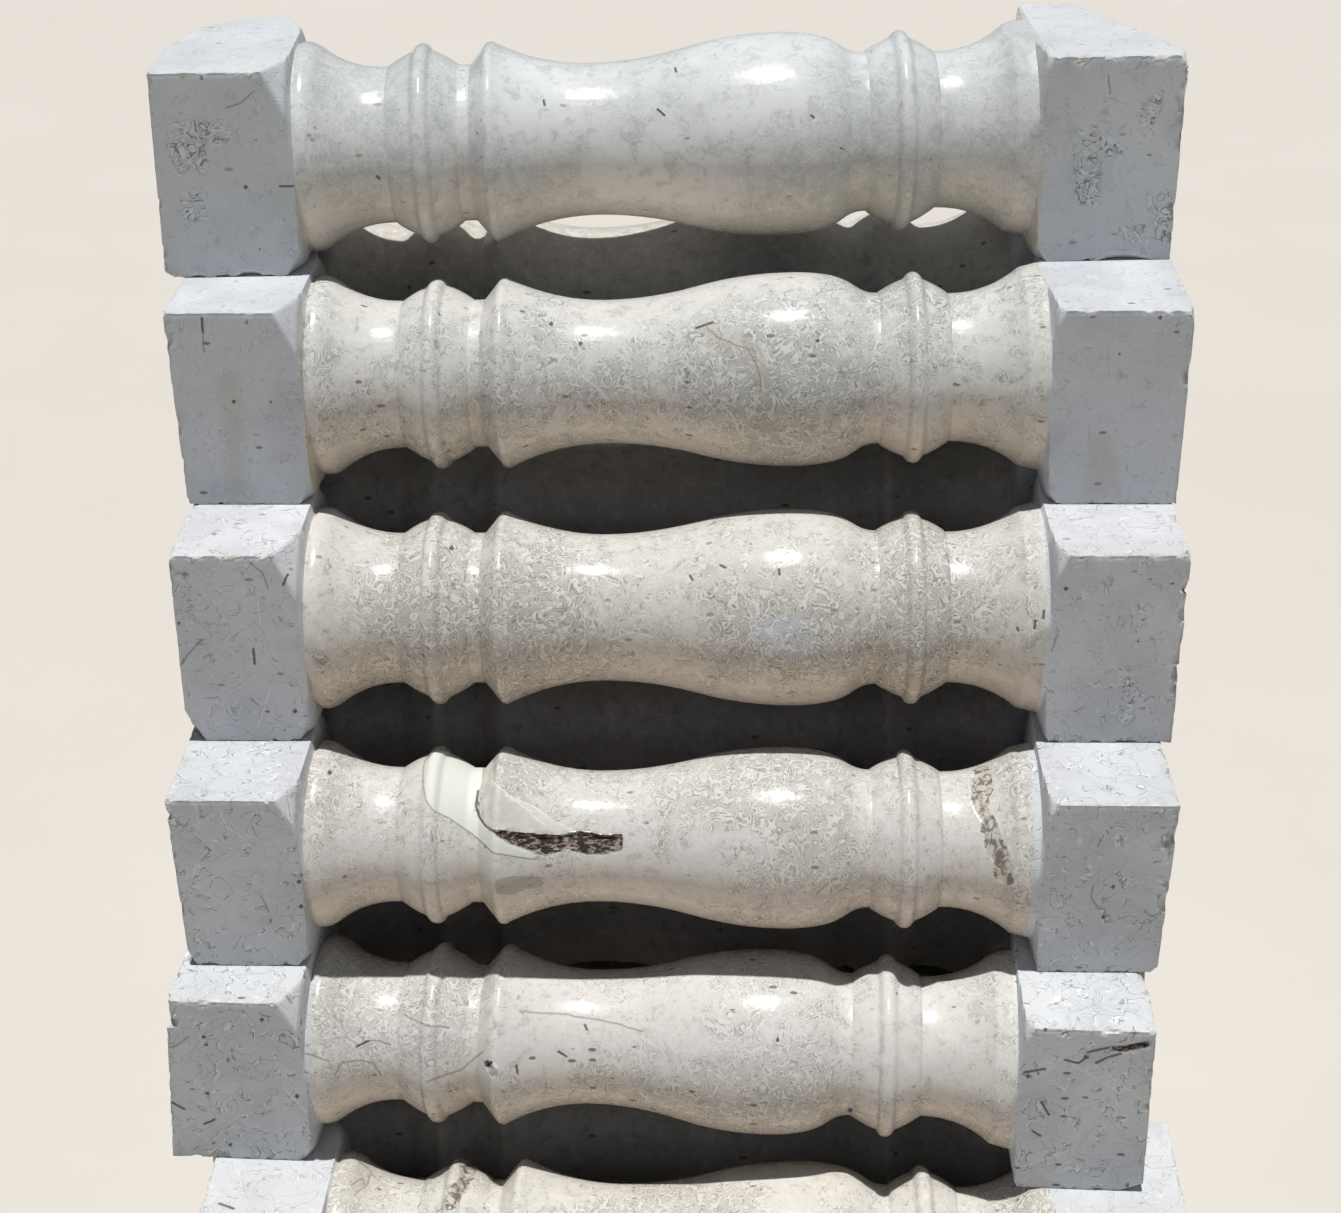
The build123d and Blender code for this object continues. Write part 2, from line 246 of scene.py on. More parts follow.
# The worn surface, in mm
ARRIS = 0.8  # a worn arris is this wide where nothing has chipped
COARSE_CHIP = 8.0  # how much wider the coarse and the fine noise make it
FINE_CHIP = 3.5
COARSE_CELL = 14.0  # cells of that noise and of the roughness
FINE_CELL = 3.5
ROUGH_CELL = 6.0
LONG_ARRIS = (0.5, 0.35, 0.4, 0.25)  # noise at which coarse and fine chips begin, variation, least width
END_ARRIS = (0.4, 0.3, 0.5, 0.2)
LOST = 0.5  # stone this far below the bar's faces has broken off
SMOOTH_SKIN = 0.04  # roughness of sawn and turned stone
ROUGH_SKIN = 0.5  # and what broken stone has more
BREAK_SLOPE = 2.0  # the edge of a broken-out mark slopes over this
BREAK_SKIN = 0.9  # and its bottom is this rough
SHADE_FROM_ENDS = 6.0  # painted shade begins this far from the end faces

# Cosine between a face and a side at which painted shade (the first three) and painted warm bounce light (the
# last) begin, and how fast they grow
SHADED_FRONT = (0.25, 4)
SHADED_BACK = (0.5, 4)
SHADED_BELOW = (-0.8, 3)
BOUNCE_FACING = (-0.2, 2)

# Contrast of the large and the small clouds in the stone, and their cells in mm
PATCHES = (0.28, 90.0)
CLOUDS = (0.16, 34.0)

# Colours and measures of the stone's material
PALE_PATCH = (0.55, 0.60, 0.66)
WHITE_MOTTLE = (0.78, 0.78, 0.76)
SHELL = (0.84, 0.83, 0.79)
PIT = (0.17, 0.14, 0.11)
PAINTED_BOUNCE_TINT = (1.0, 0.90, 0.80)  # painted warm bounce light on faces that look down
PAINTED_PILE_SHADE = (0.69, 0.63, 0.64)  # painted shade on faces that look into the pile
# painted highlight beside the grooves of the sawn faces
PAINTED_GROOVE_HIGHLIGHT = (0.84, 0.84, 0.84)
SAWN_PIT = (0.16, 0.15, 0.14)
CRUMBLY = ((0.74, 0.73, 0.70), (0.46, 0.44, 0.41))
REAR_WHITE_MOTTLE = (0.80, 0.79, 0.75)
REAR_PIT = (0.16, 0.14, 0.12)
REAR_BROKEN = (0.55, 0.53, 0.50)
STAIN = (0.36, 0.31, 0.25)
TINT = (0.47, 0.43, 0.34)
HOLE = (0.08, 0.07, 0.065)
VEIN = ((0.13, 0.10, 0.085), (0.60, 0.55, 0.47))
SMOOTHED = ((0.58, 0.55, 0.50), (0.69, 0.67, 0.62))
FILLER = ((0.70, 0.71, 0.665), (0.75, 0.755, 0.715))
FILLER_RIM = (0.40, 0.39, 0.33)
CRUMBS = ((0.040, 0.028, 0.024), (0.36, 0.29, 0.25))
CRYSTAL = ((0.85, 0.86, 0.86), (0.4, 0.39, 0.37))
THREAD = (0.84, 0.83, 0.78)
CRACK = (0.26, 0.235, 0.20)
LINE = (0.09, 0.075, 0.062)
BAND_CORE = 0.35  # share of a band, a speck and a stroke that is drawn in full
SPECK_CORE = 0.6
STROKE_CORE = 0.3
STROKE_END = (0.0027, 0.0017)  # a stroke fades out between these distances from its line
PIT_RADIUS = (0.0022, 0.0012)
PIT_STRETCH = (0.45, 1.0, 1.0)
PIT_SIZE = 0.26
PIT_SHARE = 0.07
GRAIN_SCALE = 150.0
SEED_SHIFT = (0.37, 0.61, 0.23)  # how far each material's patterns lie from the next one's
DULL = 0.75  # roughness of stone that isn't polished
SPECULAR = 0.28
BUMP_DISTANCE = 0.0012

# Polished stone, its greyer clouds and sawn stone, then how strong clouds, shells, pits and gouges are
Look = namedtuple("Look", "polished clouded sawn clouds shells pits gouges")
LOOKS = {
    "course_6_baluster_1": Look(
        polished=(0.73, 0.75, 0.755), clouded=(0.48, 0.505, 0.50), sawn=(0.66, 0.685, 0.715),
        clouds=0.7, shells=0.32, pits=0.5, gouges=0.35,
    ),
    "course_5_baluster_1": Look(
        polished=(0.66, 0.65, 0.62), clouded=(0.42, 0.42, 0.41), sawn=(0.63, 0.65, 0.69),
        clouds=0.8, shells=0.8, pits=0.8, gouges=0.4,
    ),
    "course_4_baluster_1": Look(
        polished=(0.66, 0.635, 0.60), clouded=(0.47, 0.45, 0.415), sawn=(0.66, 0.67, 0.70),
        clouds=0.8, shells=0.9, pits=0.6, gouges=0.7,
    ),
    "course_3_baluster_1": Look(
        polished=(0.67, 0.65, 0.62), clouded=(0.48, 0.455, 0.42), sawn=(0.65, 0.665, 0.695),
        clouds=0.7, shells=0.8, pits=0.7, gouges=0.9,
    ),
    "course_2_baluster_1": Look(
        polished=(0.68, 0.66, 0.63), clouded=(0.49, 0.475, 0.45), sawn=(0.66, 0.675, 0.70),
        clouds=0.7, shells=0.8, pits=0.9, gouges=1.0,
    ),
    "course_1_baluster_1": Look(
        polished=(0.68, 0.65, 0.60), clouded=(0.50, 0.47, 0.42), sawn=(0.68, 0.69, 0.71),
        clouds=0.7, shells=0.8, pits=0.7, gouges=0.6,
    ),
}
REAR_LOOKS = [  # without shells and gouges
    Look((0.66, 0.63, 0.57), (0.48, 0.45, 0.40), (0.66, 0.68, 0.71), 0.7, 0.0, 0.8, 0.0),
    Look((0.64, 0.62, 0.57), (0.48, 0.46, 0.42), (0.65, 0.67, 0.70), 0.7, 0.0, 0.8, 0.0),
    Look((0.67, 0.64, 0.58), (0.51, 0.48, 0.43), (0.67, 0.68, 0.70), 0.7, 0.0, 0.8, 0.0),
]

# Floor and light
FLOOR_HALF = 12.0
FLOOR_COLOURS = ((0.61, 0.57, 0.52), (0.65, 0.61, 0.56))
SUN_ENERGY = 3.75
SUN_SIZE = math.radians(1.5)
SUN_TILT = math.radians(1.3)
SUN_COLOUR = (1.0, 0.985, 0.955)
SKY_COLOUR = (0.66, 0.83, 1.04, 1.0)
SKY_STRENGTH = 0.136
BACKDROP = (0.84, 0.82, 0.78, 1.0)


def lattice_noise(points, cell, seed):
    """Smooth value noise from -1 to 1 on a cubic lattice, the same every run."""
    scaled = points / cell
    base = np.floor(scaled).astype(np.int64)
    part = scaled - base
    part = part * part * (3.0 - 2.0 * part)
    total = np.zeros(len(points))
    for dx in (0, 1):
        for dy in (0, 1):
            for dz in (0, 1):
                key = (base[:, 0] + dx) * 73856093
                key = key ^ ((base[:, 1] + dy) * 19349663)
                key = key ^ ((base[:, 2] + dz) * 83492791)
                key = key ^ (seed * 2654435761)
                key = (key ^ (key >> 13)) * 1274126177
                value = ((key ^ (key >> 16)) & 0xFFFF) / 32767.5 - 1.0
                weight = np.where(dx, part[:, 0], 1.0 - part[:, 0])
                weight = weight * np.where(dy, part[:, 1], 1.0 - part[:, 1])
                weight = weight * np.where(dz, part[:, 2], 1.0 - part[:, 2])
                total += value * weight
    return total


def layered_noise(points, cell, seed, layers=3):
    """Several scales of noise, each half as strong as the one before."""
    total = np.zeros(len(points))
    for layer in range(layers):
        total += lattice_noise(points, cell / 2 ** layer, seed + 17 * layer) / 2 ** layer
    return total


def mesh_arrays(node):
    """Vertices and triangles of a CAD node."""
    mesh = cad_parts[node].data
    mesh.calc_loop_triangles()
    verts = np.empty(len(mesh.vertices) * 3, np.float32)
    mesh.vertices.foreach_get("co", verts)
    tris = np.empty(len(mesh.loop_triangles) * 3, np.int32)
    mesh.loop_triangles.foreach_get("vertices", tris)
    return verts.reshape(-1, 3).astype(float), tris.reshape(-1, 3)


class Bar:
    """The square bar that a baluster was turned from: its middle, its direction and its size."""

    SIDE_COSINE = 0.9999
    FRONT_COSINE = 0.9
    END_COSINE = 0.99
    END_DEPTH = 0.02
    OUTSIDE = 0.2

    def __init__(self, node):
        verts, tris = mesh_arrays(node)
        a, b, c = verts[tris[:, 0]], verts[tris[:, 1]], verts[tris[:, 2]]
        cross = np.cross(b - a, c - a)
        area = np.maximum(np.linalg.norm(cross, axis=1), 1e-12)
        level = np.abs(cross[:, 2]) < (1 - self.SIDE_COSINE) * area
        sides = level & (np.abs(cross[:, 1]) > self.FRONT_COSINE * area)
        across = (cross[sides] * np.sign(cross[sides, 1:2])).sum(axis=0)
        self.across = across / np.linalg.norm(across)
        self.along = np.array([self.across[1], -self.across[0], 0.0])
        self.up = np.array([0.0, 0.0, 1.0])
        axes = np.stack([self.along, self.across, self.up])
        local = verts @ axes.T
        low, high = local.min(axis=0), local.max(axis=0)
        self.middle = (low + high) / 2 @ axes
        self.half_y = (high[1] - low[1]) / 2
        self.half_z = (high[2] - low[2]) / 2
        # End faces: their place on the axis and their lean, across and upward
        facing = cross @ self.along / area
        centre = (a + b + c) / 3 - self.middle
        self.ends = []
        for sign in (-1, 1):
            place = centre @ self.along * sign
            face = (facing * sign > self.END_COSINE) & (place > place.max() - self.END_DEPTH)
            normal = cross[face].sum(axis=0) @ axes.T
            place = (centre[face] * area[face, None]).sum(axis=0) / area[face].sum() @ axes.T
            lean = -normal[1:] / normal[0]
            self.ends.append((place[0] - lean @ place[1:], lean))
        self.start = self.ends[0][0]
        self.length = self.ends[1][0] - self.start
        self.tree = BVHTree.FromPolygons(verts.tolist(), tris.tolist())

    def point(self, station, y, z):
        """A point from its place along the bar and its offsets from the bar's axis."""
        along = np.outer(station + self.start, self.along)
        return self.middle + along + np.outer(y, self.across) + np.outer(z, self.up)

    def lean(self, end, y, z):
        """How far an end face runs out of square at a place beside the bar's axis."""
        return self.ends[end][1][0] * y + self.ends[end][1][1] * z

    def reach(self, station, angle, limit):
        """How far the stone reaches from the bar's axis, in one direction, seen from outside."""
        origin = Vector(self.middle + self.along * (station + self.start))
        direction = Vector(self.across * math.cos(angle) + self.up * math.sin(angle))
        hit = self.tree.ray_cast(origin + direction * self.OUTSIDE, -direction)
        return min(self.OUTSIDE - hit[3], limit) if hit[3] is not None else np.nan


def stations(bar, node, spacing_factor):
    """Rows of vertices along a baluster, closer together where the profile turns sharply."""
    rows = [0.0]
    for start, end, spacing in STRETCHES:
        if node == FINE_NODE and start == FINE_STRETCH[0]:
            spacing = FINE_STRETCH[2]
        steps = max(1, round((end - start) / (spacing * spacing_factor)))
        rows += [start + (end - start) * (i + 1) / steps for i in range(steps)]
    rows = np.array(rows)
    # A longer or shorter bar has longer or shorter blocks
    extra = (bar.length / MM - rows[-1]) / 2
    block = STRETCHES[1][1]
    first = rows < block
    last = rows > rows[-1] - block
    stretched = rows + extra
    stretched[first] = rows[first] * (block + extra) / block
    stretched[last] = bar.length / MM - (rows[-1] - rows[last]) * (block + extra) / block
    return stretched * MM


def columns(bar, per_side):
    """Directions round a baluster, closer together at the bar's corners, with one on each corner."""
    corner = math.atan2(bar.half_z, bar.half_y)
    halves = [corner, math.pi / 2 - corner, corner, math.pi / 2 - corner]
    u = np.linspace(-1.0, 1.0, per_side + 1)[:-1]
    side = (1 - CORNER_CROWDING) * u + CORNER_CROWDING * np.sin(u * math.pi / 2)
    return np.concatenate([math.pi / 2 * k + side * halves[k] for k in range(4)])


def camera_axes():
    """Right, up and forward of the photograph's camera."""
    pitch, yaw, roll = CAMERA_PITCH, CAMERA_YAW, CAMERA_ROLL
    forward = Vector((math.sin(yaw) * math.cos(pitch), math.cos(yaw) * math.cos(pitch), -math.sin(pitch)))
    level = Vector((math.cos(yaw), -math.sin(yaw), 0.0))
    above = level.cross(forward)
    right = math.cos(roll) * level + math.sin(roll) * above
    upward = -math.sin(roll) * level + math.cos(roll) * above
    return right, upward, forward


def in_photo(points):
    """Where points of the pile lie in the photograph."""
    right, upward, forward = (np.array(axis) for axis in camera_axes())
    seen = points - np.array(CAMERA_PLACE)
    depth = seen @ forward
    x = PHOTO_WIDTH / 2 + PHOTO_FOCAL * (seen @ right) / depth
    y = PHOTO_HEIGHT / 2 - PHOTO_FOCAL * (seen @ upward) / depth
    return np.stack([x, y], axis=1)


def line_distance(points, line):
    """Distance of each point to a broken line, and on which side of it the point lies."""
    best = np.full(len(points), np.inf)
    side = np.zeros(len(points))
    for start, end in zip(np.array(line[:-1], float), np.array(line[1:], float)):
        run = end - start
        part = np.clip(((points - start) @ run) / (run @ run), 0, 1)
        away = points - start - part[:, None] * run
        distance = np.linalg.norm(away, axis=1)
        nearer = distance < best
        best = np.where(nearer, distance, best)
        turn = run[0] * (points[:, 1] - start[1]) - run[1] * (points[:, 0] - start[0])
        side = np.where(nearer, turn / np.linalg.norm(run), side)
    return best, side


def area_distance(points, outline):
    """Signed distance to an outline, less than zero inside."""
    distance = line_distance(points, outline + outline[:1])[0]
    inside = np.zeros(len(points), bool)
    for (x0, y0), (x1, y1) in zip(outline, outline[1:] + outline[:1]):
        if y0 != y1:
            crosses = (points[:, 1] > y0) != (points[:, 1] > y1)
            inside ^= crosses & (points[:, 0] < x0 + (points[:, 1] - y0) * (x1 - x0) / (y1 - y0))
    return np.where(inside, -distance, distance)


def add_mark(fields, kind, outline, pixels, facing):
    """Adds one mark to the distance fields, where the skin faces the photograph's camera."""
    if kind in AREA_KINDS:
        distance = area_distance(pixels, outline) / PIXELS_PER_METRE
        distance = np.where(facing, np.clip(distance, -FAR, FAR), FAR)
        fields[kind] = np.minimum(fields[kind], distance)
    elif kind in POINT_KINDS:
        for spot in outline:
            distance = np.linalg.norm(pixels - np.array(spot, float), axis=1) / PIXELS_PER_METRE
            fields[kind] = np.minimum(fields[kind], np.where(facing, distance, FAR))
    else:
        distance, side = line_distance(pixels, outline)
        distance = np.where(facing, np.clip(distance / PIXELS_PER_METRE, 0, FAR), FAR)
        nearer = distance < fields[kind]
        fields[kind] = np.where(nearer, distance, fields[kind])
        fields[kind + "_side"] = np.where(nearer, side / PIXELS_PER_METRE, fields[kind + "_side"])


def mark_fields(node, points, outward):
    """Distances to the node's marks at every vertex, in metres, for the material to draw them."""
    fields = {kind: np.full(len(points), FAR) for kind in AREA_KINDS + POINT_KINDS}
    for kind in LINE_KINDS:
        fields[kind] = np.full(len(points), FAR)
        fields[kind + "_side"] = np.full(len(points), FAR)
    pixels = in_photo(points)
    facing = (outward * (np.array(CAMERA_PLACE) - points)).sum(axis=1) > 0
    for kind, outlines in MARKS.get(node, {}).items():
        for outline in outlines:
            add_mark(fields, kind, outline, pixels, facing)
    return fields


def skin(bar, node, per_side, spacing_factor):
    """Rows and columns over a baluster's CAD solid: places, reach of bar and stone, distance to the ends."""
    s, a = np.meshgrid(stations(bar, node, spacing_factor), columns(bar, per_side), indexing="ij")
    cos, sin = np.abs(np.cos(a)), np.abs(np.sin(a))
    square = np.minimum(bar.half_y / np.maximum(cos, TINY), bar.half_z / np.maximum(sin, TINY))
    # Rows near an end slide with its leaning face
    start_lean, end_lean = (bar.lean(end, square * np.cos(a), square * np.sin(a)) for end in (0, 1))
    near_start = np.clip(1 - s / (END_SLIDE * MM), 0, 1)
    near_end = np.clip(1 - (bar.length - s) / (END_SLIDE * MM), 0, 1)
    s = s + start_lean * near_start + end_lean * near_end
    reach = np.empty_like(s)
    for i in range(s.shape[0]):
        probe = s[i] + PROBE_INSET * ((i == 0) - (i == s.shape[0] - 1))
        reach[i] = [bar.reach(p, angle, limit) for p, angle, limit in zip(probe, a[i], square[i])]
    # Where a ray misses a broken end, the row takes the reach of the row further in
    half = s.shape[0] // 2
    for rows_out in (range(half, -1, -1), range(half, s.shape[0])):
        for before, i in zip(rows_out[:-1], rows_out[1:]):
            reach[i] = np.where(np.isnan(reach[i]), reach[before], reach[i])
    end = np.minimum(s - start_lean, bar.length - s + end_lean)
    end = np.where(near_start + near_end > 0, np.clip(end, 0, None), FAR_FROM_ENDS)
    return s, a, square, reach, end


def arris_width(coarse, fine, wear, coarse_start, fine_start, variation, least):
    """Width of a worn arris: a slight rounding, and more where a chip has come away."""
    chip = np.clip(coarse - coarse_start, 0, None) * COARSE_CHIP
    chip = chip + np.clip(fine - fine_start, 0, None) * FINE_CHIP
    return np.clip(ARRIS + variation * fine + wear * chip, least, None) * MM


def looking(side, least, gain):
    """One on faces that look well towards a side, nought on those that don't."""
    return np.clip((side - least) * gain, 0, 1)


def pile_shade_mask(node, outward):
    """One on faces that look into the pile, which get painted shade there."""
    course, row = int(node.split("_")[1]), int(node.split("_")[3])
    last = COURSES + 1 - course
    inner = np.zeros(len(outward))
    if row > 1:
        inner = np.maximum(inner, looking(-outward[:, 1], *SHADED_FRONT))
    if row < last:
        inner = np.maximum(inner, looking(outward[:, 1], *SHADED_BACK))
    if 1 < row < last:
        inner = np.maximum(inner, looking(-outward[:, 2], *SHADED_BELOW))
    return inner * PILE_SHADE_STRENGTH.get(course, 1.0)


def stone_surface(bar, node, seed, per_side, spacing_factor):
    """Every row and column of a baluster's skin: the CAD solid with worn, chipped and rough stone."""
    s, a, square, reach, end = skin(bar, node, per_side, spacing_factor)
    cos, sin = np.abs(np.cos(a)), np.abs(np.sin(a))
    flat = bar.point(s.ravel(), (reach * np.cos(a)).ravel(), (reach * np.sin(a)).ravel())
    coarse = layered_noise(flat, COARSE_CELL * MM, seed, 3).reshape(s.shape)
    fine = layered_noise(flat, FINE_CELL * MM, seed + 5, 2).reshape(s.shape)
    rough = layered_noise(flat, ROUGH_CELL * MM, seed + 9, 3).reshape(s.shape)
    # The long arrises, then those round the two end faces
    wear = WEAR.get(node, 1.0)
    leg = arris_width(coarse, fine, wear, *LONG_ARRIS)
    worn = np.minimum(reach, (bar.half_y + bar.half_z - leg) / (cos + sin))
    cut = np.clip(arris_width(coarse, fine, wear, *END_ARRIS) - end, 0, None)
    worn = np.minimum(worn, square - cut / np.maximum(cos, sin))
    # Broken stone is rough, sawn and turned stone nearly smooth
    block = (s < BLOCK_REACH * MM) | (s > bar.length - BLOCK_REACH * MM)
    lost = block & (square - reach > LOST * MM)
    broken = np.clip((np.minimum(reach, square) - worn) / (ARRIS * MM), 0, 1)
    broken = np.maximum(broken, lost)
    worn = worn + rough * (SMOOTH_SKIN * MM + ROUGH_SKIN * MM * broken)
    turned = (s > (TURNED_START + LATE_TURNING.get(node, 0.0)) * MM) & (s < bar.length - TURNED_END * MM)
    outward = np.outer(np.cos(a).ravel(), bar.across) + np.outer(np.sin(a).ravel(), bar.up)
    points = bar.point(s.ravel(), (worn * np.cos(a)).ravel(), (worn * np.sin(a)).ravel())
    fields = mark_fields(node, points, outward)
    sunk = np.clip(-fields["rough"] / (BREAK_SLOPE * MM), 0, 1).reshape(s.shape)
    worn = worn - sunk * (ROUGH_DEPTH + rough * BREAK_SKIN * MM)
    fields["turned"] = turned.ravel().astype(float)
    fields["broken"] = broken.ravel()
    # Faces that look down get painted warm bounce light
    fields["under"] = looking(-outward[:, 2], *BOUNCE_FACING)
    # Painted shade on faces that look into the pile, fading out near the end faces
    fields["painted_shade"] = pile_shade_mask(node, outward) * np.clip(end.ravel() / (SHADE_FROM_ENDS * MM), 0, 1)
    return s, a, worn, fields


def build_mesh(name, bar, seed, s, a, reach, fields):
    """A closed mesh from the radii, with its two ends capped by shrinking rings."""
    count = s.shape[1]
    y, z = reach * np.cos(a), reach * np.sin(a)
    points = [bar.point(s.ravel(), y.ravel(), z.ravel())]
    values = {key: [value] for key, value in fields.items()}
    i, j = np.meshgrid(np.arange(s.shape[0] - 1), np.arange(count), indexing="ij")
    nxt = (j + 1) % count
    quads = np.stack([i * count + j, (i + 1) * count + j, (i + 1) * count + nxt, i * count + nxt], axis=-1)
    faces = quads.reshape(-1, 4)[:, ::-1].tolist()
    start = s.size
    for row, face, flip in ((0, 0, False), (-1, 1, True)):
        place = bar.ends[face][0] - bar.start
        outer = (s.shape[0] - 1) * count if flip else 0
        for ring in range(1, CAP_RINGS + 1):
            share = 1 - ring / (CAP_RINGS + 1)
            ring_y, ring_z = y[row] * share, z[row] * share
            points.append(bar.point(place + bar.lean(face, ring_y, ring_z), ring_y, ring_z))
            for key in values:
                values[key].append(np.full(count, 0.0 if key in CAP_FIELDS else FAR))
            for k in range(count):
                quad = [outer + k, outer + (k + 1) % count, start + (k + 1) % count, start + k]
                faces.append(quad[::-1] if flip else quad)
            outer = start
            start += count
        points.append(bar.point(np.array([place]), np.zeros(1), np.zeros(1)))
        for key in values:
            values[key].append(np.full(1, 0.0 if key in CAP_FIELDS else FAR))
        for k in range(count):
            tri = [outer + k, outer + (k + 1) % count, start]
            faces.append(tri[::-1] if flip else tri)
        start += 1
    places = np.concatenate(points)
    values["patches"] = [0.5 + PATCHES[0] * layered_noise(places, PATCHES[1] * MM, seed + 21, 4)]
    values["cloudy"] = [0.5 + CLOUDS[0] * layered_noise(places, CLOUDS[1] * MM, seed + 33, 3)]
    mesh = bpy.data.meshes.new(name)
    mesh.from_pydata(places.tolist(), [], faces)
    for key, parts in values.items():
        layer = mesh.attributes.new(key, "FLOAT", "POINT")
        layer.data.foreach_set("value", np.concatenate(parts).astype(np.float32))
    mesh.shade_smooth()
    mesh.set_sharp_from_angle(angle=SHARP_ANGLE)
    mesh.update()
    piece = bpy.data.objects.new(name, mesh)
    bpy.context.scene.collection.objects.link(piece)
    return piece


class Nodes:
    """Small helper to wire a material's nodes."""

    def __init__(self, name):
        self.material = bpy.data.materials.new(name)
        self.material.use_nodes = True
        self.tree = self.material.node_tree
        self.shader = self.tree.nodes["Principled BSDF"]

    def add(self, kind, **settings):
        node = self.tree.nodes.new(kind)
        for key, value in settings.items():
            setattr(node, key, value)
        return node

    def feed(self, socket, value):
        if isinstance(value, bpy.types.NodeSocket):
            self.tree.links.new(value, socket)
        elif socket.type == "RGBA":
            socket.default_value = value + (1.0,)
        else:
            socket.default_value = value

    def feed_all(self, node, **values):
        """Feeds the inputs whose names are the keys, with spaces for underscores."""
        for key, value in values.items():
            self.feed(node.inputs[key.replace("_", " ")], value)

    def math(self, operation, a, b=0.0, c=0.0):
        node = self.add("ShaderNodeMath", operation=operation)
        for socket, value in zip(node.inputs, (a, b, c)):
            self.feed(socket, value)
        return node.outputs[0]

    def times(self, a, b):
        return self.math("MULTIPLY", a, b)

    def ramp(self, value, low, high, out_low=0.0, out_high=1.0):
        """Goes smoothly from one output to the other between two values."""
        node = self.add("ShaderNodeMapRange", interpolation_type="SMOOTHSTEP")
        self.feed_all(node, Value=value, From_Min=low, From_Max=high, To_Min=out_low, To_Max=out_high)
        return node.outputs[0]

    def mix(self, factor, a, b, blend="MIX"):
        node = self.add("ShaderNodeMix", data_type="RGBA", blend_type=blend)
        self.feed(node.inputs[0], factor)
        self.feed(node.inputs[6], a)
        self.feed(node.inputs[7], b)
        return node.outputs[2]

    def lay(self, under, over, where, strength):
        """A colour laid over another where a value is one, at a given strength."""
        return self.mix(self.times(where, strength), under, over)

    def toned(self, colour, tone, where):
        """A colour multiplied by a tone where a value is one."""
        return self.mix(where, colour, self.mix(1.0, colour, tone, "MULTIPLY"))

    def noise(self, vector, scale, detail, roughness=0.5, distortion=0.0):
        node = self.add("ShaderNodeTexNoise")
        self.feed_all(node, Vector=vector, Scale=scale, Detail=detail, Roughness=roughness)
        self.feed(node.inputs["Distortion"], distortion)
        return node.outputs["Fac"]

    def vector(self, operation, a, b):
        node = self.add("ShaderNodeVectorMath", operation=operation)
        self.feed(node.inputs[0], a)
        self.feed(node.inputs[1], b)
        return node.outputs[0]

    def attribute(self, name):
        return self.add("ShaderNodeAttribute", attribute_name=name).outputs["Fac"]

    def band(self, value, middle, half_width):
        """One where a value is near the middle, falling to nought at the half width."""
        off = self.math("ABSOLUTE", self.math("SUBTRACT", value, middle))
        return self.ramp(off, half_width, half_width * BAND_CORE)

    def specks(self, vector, scale, size, share):
        """Small spots in some cells of a random pattern."""
        cells = self.add("ShaderNodeTexVoronoi")
        self.feed_all(cells, Vector=vector, Scale=scale)
        parts = self.add("ShaderNodeSeparateColor")
        self.feed(parts.inputs[0], cells.outputs["Color"])
        chosen = self.ramp(parts.outputs[0], 1 - share, 1.02 - share)
        return self.times(self.ramp(cells.outputs["Distance"], size, size * SPECK_CORE), chosen)


class Stone(Nodes):
    """A stone material in the making: the patterns its parts share, then its colour, height and roughness."""

    def __init__(self, name, seed, look, mottle_scale, mottle_roughness, pit_scale):
        super().__init__(name)
        self.look = look
        place = self.add("ShaderNodeTexCoord").outputs["Object"]
        self.place = self.vector("ADD", place, tuple(part * seed for part in SEED_SHIFT))
        self.turned = self.attribute("turned")
        self.broken = self.attribute("broken")
        self.patches = self.attribute("patches")
        self.cloudy = self.attribute("cloudy")
        self.mottle = self.noise(self.place, mottle_scale, 4.0, mottle_roughness, distortion=0.8)
        self.grain = self.noise(self.place, GRAIN_SCALE, 2.0)
        self.pits = self.specks(self.stretched(PIT_STRETCH), pit_scale, PIT_SIZE, PIT_SHARE)
        self.colour = None
        self.height = self.grain
        self.rough = None

    def stretched(self, factors):
        """Places for a pattern that is longer one way than the other."""
        return self.vector("MULTIPLY", self.place, factors)

    def cover(self, over, where, strength):
        self.colour = self.lay(self.colour, over, where, strength)

    def gloss(self, low, high):
        """Roughness between two values where the stone is turned and polished, dull elsewhere."""
        polish = self.math("SUBTRACT", self.ramp(self.mottle, 0.35, 0.65, low, high), DULL)
        return self.math("MULTIPLY_ADD", self.turned, polish, DULL)

    def edge(self, kind, amount, ragged=None):
        """A mark's distance field, shifted by a noise that makes its outline ragged."""
        if not amount:
            return self.attribute(kind)
        shift = self.math("SUBTRACT", self.mottle if ragged is None else ragged, 0.5)
        return self.math("ADD", self.attribute(kind), self.times(shift, amount))

    def area(self, kind, amount, soft=0.0004, ragged=None):
        """One inside a kind of mark and nought outside, with a ragged edge."""
        return self.ramp(self.edge(kind, amount, ragged), soft, -soft)

    def stroke(self, kind, amount, width):
        """A thin line along a kind of mark."""
        off = self.math("ABSOLUTE", self.edge(kind + "_side", amount))
        near = self.ramp(self.attribute(kind), *STROKE_END)
        return self.times(self.ramp(off, width, width * STROKE_CORE), near)

    def finish(self, bump_strength):
        """Painted shade in the pile's inside, then everything goes to the shader."""
        self.feed(self.shader.inputs["Base Color"], self.toned(self.colour, PAINTED_PILE_SHADE, self.attribute("painted_shade")))
        self.feed(self.shader.inputs["Roughness"], self.rough)
        self.shader.inputs["Specular IOR Level"].default_value = SPECULAR
        bump = self.add("ShaderNodeBump")
        self.feed(bump.inputs["Height"], self.height)
        bump.inputs["Distance"].default_value = BUMP_DISTANCE
        bump.inputs["Strength"].default_value = bump_strength
        self.feed(self.shader.inputs["Normal"], bump.outputs[0])
        return self.material


def shade(colour, factor):
    """A colour made lighter or darker."""
    return tuple(factor * part for part in colour)


